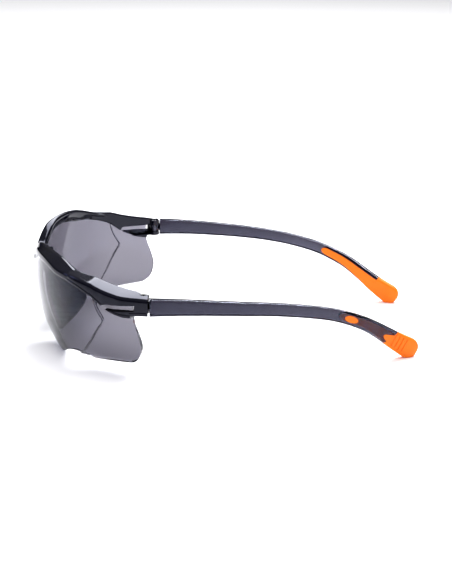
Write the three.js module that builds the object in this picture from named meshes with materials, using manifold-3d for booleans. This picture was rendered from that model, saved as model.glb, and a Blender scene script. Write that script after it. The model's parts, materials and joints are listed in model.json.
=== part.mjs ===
// Wrap-around safety glasses: a one-piece smoke lens with moulded side shields, hung from a half frame,
// two folding temples with soft over-moulded tips, and a nose saddle with ribbed pads.
// Millimetres, +Z up, the wearer looks along -Y, and +X is the wearer's left. While the pieces are made,
// Y = 0 lies just behind the hinges, and Z = 0 is the lowest point of the lens.
import * as THREE from "three";
import { mergeVertices } from "three/addons/utils/BufferGeometryUtils.js";
import Module from "manifold-3d";

const wasm = await Module();
wasm.setup();

// ---- Clearances ----
const gap = 0.3; // between pieces that touch or fit into each other
const pinPlay = 0.12; // around the hinge screw in its bore

// ---- Lens ----
const lensHalfWidth = 66; // half width of the front's oval, at the equator
const lensReach = 43; // how far the oval bows forward of its centre
const lensCentreY = -11; // centre of the oval
const lensEquator = 30; // height of the widest, most forward section
const lensBow = 60; // vertical radius of the lens
const lensThickness = 2;
const creaseAngle = THREE.MathUtils.degToRad(72); // front sweep from the nose to the top of the crease
const shieldRearY = -8; // rear edge of the shield, where it goes into the arm
const shieldFlare = 0.3; // how far a shield runs outward for each mm it runs back

// ---- Brow frame ----
const lipDepth = 1.4; // how far the bar stands proud of the lens
const barWall = 1.1; // bar behind the lens
const lensBite = 2.4; // lens held inside the bar
const lipHeight = 3; // upright front of the bar, above its foot

// ---- Hinge ----
const hingeInset = 2.07; // hinge axis inside the rear edge of the shield
const hingeSetback = 2.5; // hinge axis in front of the open temple's front face
const hingeGap = 0.7; // between an end block and the open temple
const earRadius = 2.4;
const tongueRadius = 2.1;
const knuckleBottom = 27.8;
const knuckleTop = 34.9;
const tongueBottom = 29.8;
const tongueTop = 32.5;
const screwRadius = 0.8;
const headRadius = 1.5;
const headHeight = 0.9;
const driveSlot = 0.45;

// ---- Temples ----
const templeFrontY = -0.9; // front face of an open temple
const templeLength = 110.4; // from the front face to the last full section of the tip
const templeOutset = 1.43; // middle of the temple's front outside the rear edge of the shield
const templeZ = 30.9;
const templeThickness = 4.2; // at the hinge
const tipThickness = 3.4; // at the bend and the tip
const restZ = 0; // the lens stands at this height, and each tip has a small flat there

// ---- Soft tips ----
const capLength = 8.5; // from the middle of the line where the soft cap starts to the last full section
const capTilt = THREE.MathUtils.degToRad(33); // slope of that line above the horizontal
const coreInset = 1; // cap wall around the hidden end of the temple
const stripDepth = 2.2; // soft strip set into the inner face
const stripLength = 31.3; // ahead of the last full section
const windowAhead = 26.3; // middle of the oval window, ahead of the last full section
const windowLength = 6.8;
const windowHeight = 2.9;

// ---- Nose saddle and pads ----
const saddleThickness = 1.5;
const padThickness = 1.5;
const ribHeight = 0.45;
const ribCount = 7;
const saddleSetback = 0.7; // behind the inner face of the lens
const stemWidth = 6;
const stemDepth = 1.8;
const stemBite = 2.2; // saddle stem inside the socket of the bar
const bossWall = 1.2;

// ---- Materials ----
const finish = (color, roughness, opacity = 1) =>
  new THREE.MeshStandardMaterial({ color, roughness, metalness: 0, opacity, transparent: opacity < 1 });
const frameFinish = finish(0x14161d, 0.16);
const lensFinish = finish(0x5f5e6a, 0.06, 0.55);
const templeFinish = finish(0x4a4a54, 0.2, 0.85);
const tipFinish = finish(0xff7a1c, 0.6);
const saddleFinish = finish(0x1a1c24, 0.35);
const padFinish = finish(0x20232b, 0.75);
const screwFinish = new THREE.MeshStandardMaterial({ color: 0x9a9ca2, roughness: 0.3, metalness: 1 });

// ---- Small tools ----

// A smooth line through rows of [place, value, ...]: place in, values out.
function track(...rows) {
  const places = rows.map((row) => row[0]);
  const values = rows.flatMap((row) => row.slice(1));
  const line = new THREE.CubicInterpolant(places, values, rows[0].length - 1);
  return (place) => Array.from(line.evaluate(place));
}

function solid(geometry) {
  const bare = geometry.clone();
  bare.deleteAttribute("normal");
  bare.deleteAttribute("uv");
  const merged = mergeVertices(bare, 1e-4);
  const vertProperties = new Float32Array(merged.attributes.position.array);
  const triVerts = new Uint32Array(merged.index.array);
  const made = new wasm.Manifold(new wasm.Mesh({ numProp: 3, vertProperties, triVerts }));
  if (made.volume() > 0) return made;
  for (let i = 0; i < triVerts.length; i += 3) {
    [triVerts[i + 1], triVerts[i + 2]] = [triVerts[i + 2], triVerts[i + 1]];
  }
  return new wasm.Manifold(new wasm.Mesh({ numProp: 3, vertProperties, triVerts }));
}

function geometryOf(manifold) {
  const { vertProperties, triVerts } = manifold.getMesh();
  const geometry = new THREE.BufferGeometry();
  geometry.setAttribute("position", new THREE.BufferAttribute(new Float32Array(vertProperties), 3));
  geometry.setIndex(new THREE.BufferAttribute(new Uint32Array(triVerts), 1));
  return geometry;
}

function moved(geometry, place) {
  const position = geometry.attributes.position;
  const point = new THREE.Vector3();
  for (let i = 0; i < position.count; i += 1) {
    point.fromBufferAttribute(position, i);
    const to = place(point.x, point.y, point.z);
    position.setXYZ(i, to.x, to.y, to.z);
  }
  return geometry;
}

// The normal of surface(u, w) from two short steps over it.
function normalAt(surface, u, w) {
  const step = 1e-3;
  const across = surface(u + step, w).sub(surface(u - step, w));
  const up = surface(u, w + step).sub(surface(u, w - step));
  return across.cross(up).normalize();
}

// A curved plate: surface(u, w) over u in [u0, u1] and w in [0, 1], between two offsets along its normal.
// The lower offset is a function of u, so that a plate can have ribs.
function plate(surface, [u0, u1], segmentsU, segmentsW, low, high) {
  const box = new THREE.BoxGeometry(1, 1, 1, segmentsU, segmentsW, 1);
  return solid(
    moved(box, (x, y, z) => {
      const u = THREE.MathUtils.lerp(u0, u1, x + 0.5);
      const w = y + 0.5;
      return surface(u, w).addScaledVector(normalAt(surface, u, w), z > 0 ? high : low(u));
    }),
  );
}

// A closed skin over sections: section(t) gives the same number of corners for every t in [0, 1].
function loft(section, steps) {
  const sides = section(0).length;
  const drum = new THREE.CylinderGeometry(1, 1, 1, sides, steps);
  return solid(
    moved(drum, (x, y, z) => {
      const corners = section(0.5 - y);
      if (Math.hypot(x, z) < 0.5) {
        const middle = new THREE.Vector3();
        corners.forEach((corner) => middle.addScaledVector(corner, 1 / sides));
        return middle;
      }
      const turn = THREE.MathUtils.euclideanModulo(Math.atan2(x, z), 2 * Math.PI);
      return corners[Math.round((turn / (2 * Math.PI)) * sides) % sides].clone();
    }),
  );
}

// A Shape drawn in (Y, Z), given a length along X.
function acrossX(shape, x0, x1, curveSegments = 10) {
  const geometry = new THREE.ExtrudeGeometry(shape, { depth: x1 - x0, bevelEnabled: false, curveSegments });
  const turn = new THREE.Matrix4().makeBasis(
    new THREE.Vector3(0, 1, 0),
    new THREE.Vector3(0, 0, 1),
    new THREE.Vector3(1, 0, 0),
  );
  return solid(geometry.applyMatrix4(turn).translate(x0, 0, 0));
}

// An upright drum round (x, y).
function drum(x, y, radius, bottom, top, sides = 20) {
  const geometry = new THREE.CylinderGeometry(radius, radius, top - bottom, sides);
  return solid(geometry.rotateX(Math.PI / 2).translate(x, y, (bottom + top) / 2));
}

function block(x0, x1, y0, y1, z0, z1) {
  const geometry = new THREE.BoxGeometry(x1 - x0, y1 - y0, z1 - z0);
  return solid(geometry.translate((x0 + x1) / 2, (y0 + y1) / 2, (z0 + z1) / 2));
}

const mirrorX = (manifold) => manifold.mirror([1, 0, 0]);

// ---- Lens surface ----
// q runs round the lens: 0 at the nose, 1 at the crease and 2 at the rear edge of the left shield,
// and below 0 to the right.

// Height, distance of the crease ahead of the oval's centre.
const creaseAhead = track([5, 20.6], [12.5, 15.8], [19, 12.4], [23.4, 9.6], [27, 11.4], [31, 13.1], [36, 14]);
// Height, distance of the shield's rear edge behind or ahead of shieldRearY.
const rearEdge = track(
  [4.6, -8], [4.75, -3.4], [5.2, -0.6], [6, 1], [7.4, 2.2], [9.6, 3.1], [13.1, 3.6], [18.3, 2.5], [25.6, 0.2],
  [30, 0],
);
// q, lower edge of the lens.
const lensFoot = track(
  [0, 29.3], [0.05, 28.6], [0.09, 26], [0.122, 20], [0.158, 13], [0.2, 6.5], [0.264, 2], [0.339, 0.3],
  [0.385, 0], [0.48, 0.6], [0.575, 2.2], [0.667, 4.2], [0.8, 5.9], [1, 6], [1.3, 4.8], [1.6, 4.4], [2, 4.6],
);
// q, foot of the bar on the lens.
const barFoot = track(
  [0, 33.5], [0.06, 34.4], [0.124, 37], [0.174, 39], [0.225, 40.3], [0.316, 40.9], [0.47, 41], [0.564, 40.1],
  [0.631, 39.1], [0.738, 38.4], [0.8, 37.8], [0.907, 36], [1, 34],
);
// q, top of the shield inside the arm.
const tabTop = track([0.85, 39.2], [1, 35.8], [1.2, 33.6], [1.5, 33.2], [2, 33.2]);

const sag = (z) => lensBow - Math.sqrt(lensBow ** 2 - (z - lensEquator) ** 2);
const lensTop = (q) => (q < 0.85 ? barFoot(q)[0] + lensBite : tabTop(q)[0]);

function frontPoint(angle, z) {
  const x = (lensHalfWidth - sag(z)) * Math.sin(angle);
  return new THREE.Vector3(x, lensCentreY - (lensReach - sag(z)) * Math.cos(angle), z);
}

function creasePoint(z) {
  return frontPoint(Math.acos(creaseAhead(z)[0] / (lensReach - sag(z))), z);
}

function lensPoint(q, z) {
  const side = Math.sign(q) || 1;
  const way = Math.abs(q);
  const atCrease = Math.acos(creaseAhead(z)[0] / (lensReach - sag(z)));
  let point;
  if (way <= 1) {
    point = frontPoint(creaseAngle * way + (atCrease - creaseAngle) * way ** 4, z);
  } else {
    const crease = creasePoint(z);
    const run = shieldRearY + rearEdge(z)[0] - crease.y;
    const flare = shieldFlare + 0.012 * Math.max(0, 23 - z);
    point = crease.add(new THREE.Vector3(flare * run, run, 0).multiplyScalar(way - 1));
  }
  point.x *= side;
  return point;
}

// The plate between two heights at each q, thickened by a margin and grown by it at the top and the rear.
function lensPlate(footAt, segmentsW, margin) {
  const surface = (q, w) => {
    const way = Math.min(2, Math.abs(q));
    const past = (margin / 15) * Math.max(0, (Math.abs(q) - 1.9) / 0.1);
    const z = THREE.MathUtils.lerp(footAt(way), lensTop(way) + margin, w);
    return lensPoint(q + Math.sign(q) * past, z);
  };
  return plate(surface, [-2, 2], 60, segmentsW, () => -lensThickness - margin, margin);
}

const lens = lensPlate((q) => lensFoot(q)[0], 9, 0);

// ---- Places that follow from the lens ----
const shieldRear = lensPoint(2, lensEquator);
const shieldRun = shieldRear.y - lensPoint(1, lensEquator).y;
const hingeX = shieldRear.x - hingeInset;
const templeX = shieldRear.x + templeOutset;
const hingeY = templeFrontY - hingeSetback;
const armEndY = templeFrontY - hingeGap; // rear face of the end blocks
const innerFace = -lensThickness - gap - barWall; // of the bar, out from the lens
const far = 2 * (lensHalfWidth + lensReach); // further than any piece reaches

// The groove in the frame that takes the top of the lens and both shields.
const grooveDepth = 12;
const lensGroove = lensPlate((q) => lensTop(q) - grooveDepth, 7, gap);

// ---- Brow frame ----

// q, height of the ridge, ridge out from the lens (minus is behind it).
const ridge = track(
  [0, 38.4, 0.3], [0.07, 39.6, 0.2], [0.124, 42, 0], [0.174, 44, -0.1], [0.225, 45.6, -0.3],
  [0.27, 46.4, -0.9], [0.32, 46.7, -1.4], [0.47, 46.4, -1.9], [0.58, 45.4, -2.6], [0.68, 44, -3.3],
  [0.8, 42.2, -3.9], [0.9, 41, -3.8], [1.06, 39.4, -3.5],
);

// A point at a height, out from the lens by a distance, square to it in plan.
function offLens(q, out, z) {
  const ahead = lensPoint(q + 1e-3, lensEquator);
  const along = ahead.sub(lensPoint(q - 1e-3, lensEquator));
  const normal = new THREE.Vector3(along.y, -along.x, 0).normalize();
  return lensPoint(q, z).addScaledVector(normal, out);
}

const barEnd = 1.05;
const bar = loft((t) => {
  const q = THREE.MathUtils.lerp(-barEnd, barEnd, t);
  const foot = barFoot(Math.abs(q))[0];
  const [top, out] = ridge(Math.abs(q));
  const inner = innerFace;
  return [
    offLens(q, lipDepth - 0.5, foot),
    offLens(q, lipDepth, foot + 0.7),
    offLens(q, lipDepth, foot + lipHeight - 0.5),
    offLens(q, lipDepth - 0.6, foot + lipHeight + 0.3),
    offLens(q, Math.max(out + 1.1, inner + 1.6), top - 0.1),
    offLens(q, Math.max(out, inner + 0.9), top),
    offLens(q, Math.min(out - 0.9, inner + 1.2), top - 0.9),
    offLens(q, inner, foot + 2.2),
    offLens(q, inner + 0.3, foot),
  ];
}, 64);

// q, outer face out from the lens, inner face behind the bar's, outer top, inner top, bottom.
const armSection = track(
  [0.76, 1.3, 0, 41.9, 42.7, 38.6], [0.84, 2.1, 0.2, 41.4, 41.8, 37.6], [0.93, 2.5, 0.7, 40.4, 41.2, 35.9],
  [1.0, 2.7, 1.1, 39.6, 40.9, 34.1], [1.1, 3, 1.2, 38.7, 40.4, 32.6], [1.2, 3.2, 1.1, 38, 39.8, 31.2],
  [1.3, 3.5, 0.9, 37.4, 39.3, 29.7], [1.53, 3.9, 0.6, 36.3, 38.3, 27.8], [1.75, 4.1, 0.5, 35.5, 37.5, 26.9],
  [2.0, 3.2, 0.4, 34.9, 36.7, 26.4],
);
// The same for the end block, by its distance behind the shield.
const endSection = track(
  [0, 3.2, 0.4, 34.9, 36.7, 27.3], [3.1, 2.1, 0, 34.5, 35.9, 27.3], [7.8, 1.6, -0.6, 34.2, 35.3, 27.3],
);

function armPart(sectionAt, start, stop, steps, placeOf = (q) => q) {
  return loft((t) => {
    const along = THREE.MathUtils.lerp(start, stop, t);
    const q = placeOf(along);
    const [outer, behind, topOut, topIn, bottom] = sectionAt(along);
    const inner = innerFace - behind;
    return [
      offLens(q, outer - 0.6, bottom),
      offLens(q, outer, bottom + 0.6),
      offLens(q, outer, topOut - 0.6),
      offLens(q, outer - 0.7, topOut),
      offLens(q, inner + 0.6, topIn),
      offLens(q, inner, topIn - 0.6),
      offLens(q, inner, bottom + 0.5),
      offLens(q, inner + 0.5, bottom),
    ];
  }, steps);
}

// q, lower and upper edge of the window through the arm, which shows the shield held inside it.
const slotEdges = track(
  [1.17, 30.45, 30.55], [1.27, 29.7, 31.4], [1.39, 29.35, 31.8], [1.5, 29.3, 31.85], [2.09, 29.4, 31.9],
);
const slotTaller = 1.4; // the window behind the shield, so that light comes through at a slant

// The part of the window between two distances out from the lens, made taller by a margin.
function slotPart(from, to, taller) {
  return loft((t) => {
    const q = THREE.MathUtils.lerp(1.17, 2.09, t);
    const [low, high] = slotEdges(q);
    const more = taller * Math.min(1, (q - 1.17) / 0.15);
    return [
      offLens(q, from, low - more),
      offLens(q, to, low - more),
      offLens(q, to, high + more),
      offLens(q, from, high + more),
    ];
  }, 14);
}

const rootDepth = 2.1; // from the hinge axis into the end block
const slotReach = 8; // past both faces of the arm
const arm = armPart(armSection, 0.76, 2, 22)
  .add(armPart(endSection, -0.3, armEndY - shieldRearY + 1, 6, (behind) => 2 + behind / shieldRun))
  .subtract(block(0, far, armEndY, far, 0, far))
  .add(drum(hingeX, hingeY, earRadius, knuckleBottom, knuckleTop))
  .add(block(hingeX, hingeX + rootDepth, hingeY - earRadius, armEndY, knuckleBottom, knuckleTop - 0.6))
  .subtract(slotPart(-lensThickness / 2, slotReach, 0))
  .subtract(slotPart(-slotReach, -lensThickness / 2, slotTaller))
  .subtract(drum(hingeX, hingeY, earRadius + 2, tongueBottom - gap, tongueTop + gap, 28))
  .subtract(drum(hingeX, hingeY, screwRadius + pinPlay, knuckleBottom - 1, knuckleTop + 1))
  .subtract(drum(hingeX, hingeY, headRadius + pinPlay, knuckleTop - headHeight - gap, knuckleTop + 1));

// Socket for the stem of the nose saddle, behind the lens at the bridge.
const bridgeInnerY = lensCentreY - lensReach - innerFace;
const bossFrontY = bridgeInnerY - 0.6;
const bossRearY = bridgeInnerY + stemDepth + 2 * gap + bossWall;
const bossBottom = barFoot(0)[0] + 0.2;
const bossHalf = stemWidth / 2 + gap + bossWall;
const bossTop = bossBottom + stemBite + bossWall + 0.6;
const boss = block(-bossHalf, bossHalf, bossFrontY, bossRearY, bossBottom, bossTop);
const socket = block(
  -stemWidth / 2 - gap, stemWidth / 2 + gap, bridgeInnerY, bridgeInnerY + stemDepth + 2 * gap,
  bossBottom - 5, bossBottom + stemBite + gap,
);

const browFrame = bar.add(arm).add(mirrorX(arm)).add(boss).subtract(socket).subtract(lensGroove);

// ---- Nose saddle and pads ----

// Share of the way from the bridge to the foot of a wing: X at the front edge and at the rear edge as
// shares of the lens's half width, Z, depth.
const wing = track(
  [0, 0, 0, 28.2, 8.4], [0.14, 0.055, 0.067, 27.4, 9.5], [0.3, 0.109, 0.136, 24.6, 13],
  [0.5, 0.155, 0.197, 19.6, 18.6], [0.75, 0.197, 0.227, 11.2, 11.5], [1, 0.227, 0.239, 4.6, 1.7],
);

function saddlePoint(u, w) {
  const [front, rear, z, depth] = wing(Math.abs(u));
  const frontY = frontPoint(Math.asin(front), z).y + lensThickness + saddleSetback;
  const x = THREE.MathUtils.lerp(front, rear, w) * lensHalfWidth * (u < 0 ? -1 : 1);
  return new THREE.Vector3(x, frontY + THREE.MathUtils.lerp(0.8, depth, w), z);
}

const stemBottom = wing(0)[2] - 1;
const stem = block(
  -stemWidth / 2, stemWidth / 2, bridgeInnerY + gap, bridgeInnerY + gap + stemDepth,
  stemBottom, bossBottom + stemBite,
);
const noseSaddle = plate(saddlePoint, [-1, 1], 32, 5, () => 0, saddleThickness).add(stem);

// A pad on the skin side of the left wing, with ribs across it.
const padSurface = (u, w) => saddlePoint(THREE.MathUtils.lerp(0.36, 0.97, u), 0.12 + 0.8 * w);
const ribLift = (u) => -gap - padThickness - ribHeight * Math.cos(2 * Math.PI * ribCount * u);
const nosePad = plate(padSurface, [0, 1], ribCount * 4, 3, ribLift, -gap);

// ---- Temples ----

// Y as a share of the temple's length: inward tuck, drop, height of the section.
const templePath = track(
  [0, 0, 0, 7.4], [0.115, 0.5, 0.2, 6.8], [0.23, 1.5, 0.8, 6.3], [0.345, 3, 1.6, 5.9], [0.46, 5.4, 2.6, 5.6],
  [0.575, 8.5, 4.3, 5.5], [0.695, 13, 7.2, 5.5], [0.755, 15.7, 9.6, 5.7], [0.82, 18.8, 13, 6.1],
  [0.88, 22.4, 17.4, 6.8], [0.945, 25.7, 22.7, 8.1], [1, 27.8, 26.7, 9.2],
);
const thicknessAt = track(
  [0, templeThickness], [0.3, templeThickness - 0.3], [0.65, tipThickness], [1, tipThickness],
);

function templeMiddle(share) {
  const [tuck, drop] = templePath(share);
  return new THREE.Vector3(templeX - tuck, templeFrontY + share * templeLength, templeZ - drop);
}

// Middle, side and up directions of the temple at a share of its length.
function templeFrame(share) {
  const step = 2e-3;
  const ahead = templeMiddle(Math.max(0, share - step));
  const back = templeMiddle(Math.min(1, share + step)).sub(ahead).normalize();
  if (share === 0) back.set(0, 1, 0);
  const out = new THREE.Vector3(back.y, -back.x, 0).normalize();
  const up = new THREE.Vector3().crossVectors(out, back).normalize();
  return { middle: templeMiddle(share), out, up, back };
}

// Corners of a rounded oblong, as shares of its half width and half height.
const oblong = [
  [1, 0.66], [0.82, 0.9], [0.4, 1], [-0.4, 1], [-0.82, 0.9], [-1, 0.66],
  [-1, -0.66], [-0.82, -0.9], [-0.4, -1], [0.4, -1], [0.82, -0.9], [1, -0.66],
];

function templeSection(share, halfWidth, halfHeight, { sideways = 0, upward = 0, beyond = 0 } = {}) {
  const { middle, out, up, back } = templeFrame(share);
  return oblong.map(([a, b]) =>
    middle
      .clone()
      .addScaledVector(out, sideways + a * halfWidth)
      .addScaledVector(up, upward + b * halfHeight)
      .addScaledVector(back, beyond),
  );
}

// From share0 to share1 with an inset; a rounded end runs past share1 by the half height.
function templeLoft(share0, share1, inset, steps, roundEnd) {
  const capSteps = roundEnd ? 6 : 0;
  const total = steps + capSteps;
  return loft((t) => {
    const step = Math.round(t * total);
    const share = THREE.MathUtils.lerp(share0, share1, Math.min(1, step / steps));
    const halfHeight = templePath(share)[2] / 2 - inset;
    const halfWidth = thicknessAt(share)[0] / 2 - inset;
    const lean = Math.max(0, step - steps) / Math.max(1, capSteps);
    const shrink = Math.cos(lean * Math.PI * 0.46);
    const beyond = Math.sin(lean * Math.PI * 0.5) * halfHeight;
    return templeSection(share, halfWidth * shrink, halfHeight * shrink, { beyond });
  }, total);
}

// Share of the temple's length, lower and upper edge of the strip as shares of the half height.
const stripEdges = track([0.71, -0.5, 0.62], [0.8, -0.6, 0.6], [0.93, -0.78, 0.64], [0.97, -0.8, 0.66]);

function stripLoft(grow) {
  const share0 = 1 - stripLength / templeLength;
  const steps = 14;
  return loft((t) => {
    const share = THREE.MathUtils.lerp(share0 - grow / templeLength, 0.97, t);
    const nose = Math.sqrt(1 - (1 - Math.min(1, t * 7)) ** 2);
    const half = templePath(share)[2] / 2;
    const [low, high] = stripEdges(share);
    const halfHeight = half * ((high - low) / 2) * Math.max(0.3, nose) + grow;
    const upward = half * ((high + low) / 2);
    const thickness = thicknessAt(share)[0];
    const overrun = grow > 0 ? 1 : 0; // a recess cuts on past the face
    const sideways = -thickness / 2 + (stripDepth + grow - overrun) / 2;
    return templeSection(share, (stripDepth + grow + overrun) / 2, halfHeight, { sideways, upward });
  }, steps);
}

// The oval that fills the window, or with a margin the window itself.
function windowPlug(grow, reach) {
  const share = 1 - windowAhead / templeLength;
  const { middle, out, up, back } = templeFrame(share);
  const oval = new THREE.Shape();
  oval.absellipse(0, 0, windowLength / 2 + grow, windowHeight / 2 + grow, 0, 2 * Math.PI);
  const thickness = thicknessAt(share)[0];
  const from = -thickness / 2 + stripDepth * 0.5;
  const depth = thickness / 2 + reach - from;
  const geometry = new THREE.ExtrudeGeometry(oval, { depth, bevelEnabled: false, curveSegments: 10 });
  const turn = new THREE.Matrix4().makeBasis(back.negate(), up, out);
  return solid(geometry.translate(0, 0, from).applyMatrix4(turn).translate(middle.x, middle.y, middle.z));
}

// Everything behind the sloping line where the cap starts, moved back by a distance.
function behindCap(shift) {
  const middle = templeMiddle(1 - capLength / templeLength);
  const box = new THREE.BoxGeometry(far, far, far);
  box.translate(0, far / 2 + shift, 0).rotateX(capTilt - Math.PI / 2);
  return solid(box.translate(middle.x, middle.y, middle.z));
}

const fullTemple = templeLoft(0, 1, 0, 40, true);
const coreShare = 0.86;
const core = templeLoft(coreShare, 0.985, coreInset, 10, false);
const coreRoom = templeLoft(coreShare, 0.985 + gap / templeLength, coreInset - gap, 10, false);

function tongue() {
  const shape = new THREE.Shape();
  shape.moveTo(hingeX - 1.2, hingeY + 1.7);
  shape.lineTo(templeX - templeThickness / 2 + 0.1, templeFrontY + 0.6);
  shape.lineTo(templeX + 1.1, templeFrontY + 0.6);
  shape.lineTo(templeX + 0.6, templeFrontY - 0.6);
  shape.lineTo(hingeX + 1.2, hingeY - 1.7);
  const plateGeometry = new THREE.ExtrudeGeometry(shape, {
    depth: tongueTop - tongueBottom,
    bevelEnabled: false,
  });
  return solid(plateGeometry.translate(0, 0, tongueBottom))
    .add(drum(hingeX, hingeY, tongueRadius, tongueBottom, tongueTop))
    .subtract(drum(hingeX, hingeY, screwRadius + pinPlay, tongueBottom - 1, tongueTop + 1));
}

const temple = fullTemple
  .subtract(behindCap(0))
  .add(core)
  .add(tongue())
  .subtract(stripLoft(gap))
  .subtract(windowPlug(gap, 2));

const cap = fullTemple.intersect(behindCap(gap)).subtract(coreRoom);
const belowRest = block(-far, far, 0, templeLength * 2, restZ - far, restZ);
const tip = cap.add(stripLoft(0)).add(windowPlug(0, 0)).subtract(belowRest);

// ---- Hinge screws ----
function hingeScrew() {
  const bottom = knuckleBottom + 0.6;
  const top = knuckleTop - 0.2;
  const points = [
    new THREE.Vector2(0, bottom),
    new THREE.Vector2(screwRadius - 0.2, bottom),
    new THREE.Vector2(screwRadius, bottom + 0.3),
    new THREE.Vector2(screwRadius, top - headHeight),
    new THREE.Vector2(headRadius, top - headHeight),
    new THREE.Vector2(headRadius, top - 0.3),
    new THREE.Vector2(headRadius - 0.4, top),
    new THREE.Vector2(0, top),
  ];
  const body = solid(new THREE.LatheGeometry(points, 20).rotateX(Math.PI / 2).translate(hingeX, hingeY, 0));
  const across = headRadius + 0.5;
  const half = driveSlot / 2;
  const slot = block(hingeX - across, hingeX + across, hingeY - half, hingeY + half, top - 0.5, top + 1);
  return body.subtract(slot);
}

const screw = hingeScrew();

// ---- Assembly ----
const glasses = new THREE.Group();

function add(name, manifold, material) {
  const mesh = new THREE.Mesh(geometryOf(manifold), material);
  mesh.name = name;
  glasses.add(mesh);
}

add("brow_frame", browFrame, frameFinish);
add("lens", lens, lensFinish);
add("nose_saddle", noseSaddle, saddleFinish);
for (const [side, placed] of [["left", (manifold) => manifold], ["right", mirrorX]]) {
  add(`nose_pad_${side}`, placed(nosePad), padFinish);
  add(`temple_${side}`, placed(temple), templeFinish);
  add(`tip_${side}`, placed(tip), tipFinish);
  add(`hinge_screw_${side}`, placed(screw), screwFinish);
}

// The glasses stand on Z = 0 with their footprint centred on the origin.
const bounds = new THREE.Box3().setFromObject(glasses);
glasses.position.set(0, -(bounds.min.y + bounds.max.y) / 2, -bounds.min.z);
const product = new THREE.Group();
product.add(glasses);

export default product;
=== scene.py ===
# %% [markdown]
# # Safety glasses
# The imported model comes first: it fixes where every piece sits and how it moves.
# Everything made below takes its place from that frame, so nothing is fitted by eye.
# %% Load the frame
import bisect
import json
import math

import bmesh
import bpy
from mathutils import Matrix, Vector


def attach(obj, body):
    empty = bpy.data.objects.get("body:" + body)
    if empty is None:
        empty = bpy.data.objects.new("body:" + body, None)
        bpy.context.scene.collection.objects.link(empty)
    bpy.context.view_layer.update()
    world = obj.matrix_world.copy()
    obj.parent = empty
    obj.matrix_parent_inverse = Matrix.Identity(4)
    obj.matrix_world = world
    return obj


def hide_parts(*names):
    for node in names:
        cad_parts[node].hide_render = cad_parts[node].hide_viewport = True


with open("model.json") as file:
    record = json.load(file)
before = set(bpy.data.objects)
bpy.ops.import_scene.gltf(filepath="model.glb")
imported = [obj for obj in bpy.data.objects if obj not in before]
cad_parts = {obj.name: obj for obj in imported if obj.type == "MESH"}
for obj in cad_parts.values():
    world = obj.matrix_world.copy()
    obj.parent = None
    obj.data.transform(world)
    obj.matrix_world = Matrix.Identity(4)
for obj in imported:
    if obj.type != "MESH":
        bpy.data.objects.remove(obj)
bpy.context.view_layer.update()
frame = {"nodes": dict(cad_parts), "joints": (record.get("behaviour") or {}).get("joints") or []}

# %% [markdown]
# A maker draws glasses in millimetres from the hinges: Y = 0 lies just behind them, and Z = 0 is the
# lowest point of the lens. The left hinge joint of the record says where the hinge is in the shared
# frame, so one small function carries every drawn point there.
# %% From the drawing to the frame
HINGE_AHEAD = 3.4  # the hinge axis lies this far ahead of the drawing's Y = 0
left_joint = next(joint for joint in frame["joints"] if joint["name"] == "fold_left")
hinge_x = left_joint["pos_m"][0] * 1000
hinge_y = -HINGE_AHEAD
row_y = left_joint["pos_m"][1] * 1000 + HINGE_AHEAD


def placed(point):
    """A drawn point in millimetres, as metres in the shared frame."""
    return Vector((point.x, point.y + row_y, point.z)) * 0.001


print("hinge axis at x", round(hinge_x, 2), "and the drawing's Y = 0 at y", round(row_y, 2))

# %% [markdown]
# The camera stands at the wearer's left, a little above the glasses, and looks across both temples.
# A long lens at three quarters of a metre keeps the two temples nearly parallel, as in a catalogue.
# %% Camera
target = placed(Vector((0, 31.17, 17.34)))
azimuth, elevation, distance = math.radians(89.56), math.radians(16.25), 0.7682
away = Vector((
    math.sin(azimuth) * math.cos(elevation),
    -math.cos(azimuth) * math.cos(elevation),
    math.sin(elevation),
))
camera_data = bpy.data.cameras.new("camera")
camera_data.lens = 104.4
camera_data.sensor_width = 36
camera_data.clip_start = 0.01
camera = bpy.data.objects.new("camera", camera_data)
camera.location = target + away * distance
camera.rotation_euler = (target - camera.location).to_track_quat("-Z", "Y").to_euler()
bpy.context.scene.collection.objects.link(camera)
bpy.context.scene.camera = camera
print("camera at", [round(v, 3) for v in camera.location])

# %% [markdown]
# Curves that change along a piece, such as the height of the brow line, are kept as short tables.
# A cubic through the rows gives a fair line with no flat spots, which is what a moulded part has.
# %% A fair line through a table
def track(*rows):
    """Rows of (place, value, ...); the result gives the values at any place between them."""
    places = [row[0] for row in rows]
    values = [row[1:] for row in rows]
    last = len(rows) - 1

    def at(place):
        if place <= places[0]:
            return values[0]
        if place >= places[last]:
            return values[last]
        i = bisect.bisect_right(places, place)
        start, stop = places[i - 1], places[i]
        before, before_place = (i - 2, places[i - 2]) if i > 1 else (i, stop)
        after, after_place = (i + 1, places[i + 1]) if i < last else (i - 1, start)
        half = (stop - start) / 2
        pull_before = half / (start - before_place)
        pull_after = half / (after_place - stop)
        p = (place - start) / (stop - start)
        shares = (
            (before, -pull_before * p**3 + 2 * pull_before * p * p - pull_before * p),
            (i - 1, (1 + pull_before) * p**3 - (1.5 + 2 * pull_before) * p * p + (pull_before - 0.5) * p + 1),
            (i, -(1 + pull_after) * p**3 + (1.5 + pull_after) * p * p + 0.5 * p),
            (after, pull_after * p**3 - pull_after * p * p),
        )
        return tuple(
            sum(share * values[row][k] for row, share in shares) for k in range(len(values[0]))
        )

    return at


def mix(a, b, t):
    return a + (b - a) * t


# %% [markdown]
# Three ways of making a skin cover nearly every piece. A tube rolls a grid round a line of sections
# and closes its ends. A plate is a grid given a second side. A slab is an outline pushed along one axis.
# Each starts from a bmesh operator, and only the places of its points are worked out.
# %% Tubes, plates and slabs
def finished(bm, name):
    """Turns a bmesh into an object at the origin, with its faces pointing outwards."""
    bmesh.ops.recalc_face_normals(bm, faces=bm.faces)
    mesh = bpy.data.meshes.new(name)
    bm.to_mesh(mesh)
    bm.free()
    piece = bpy.data.objects.new(name, mesh)
    bpy.context.scene.collection.objects.link(piece)
    return piece


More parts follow.
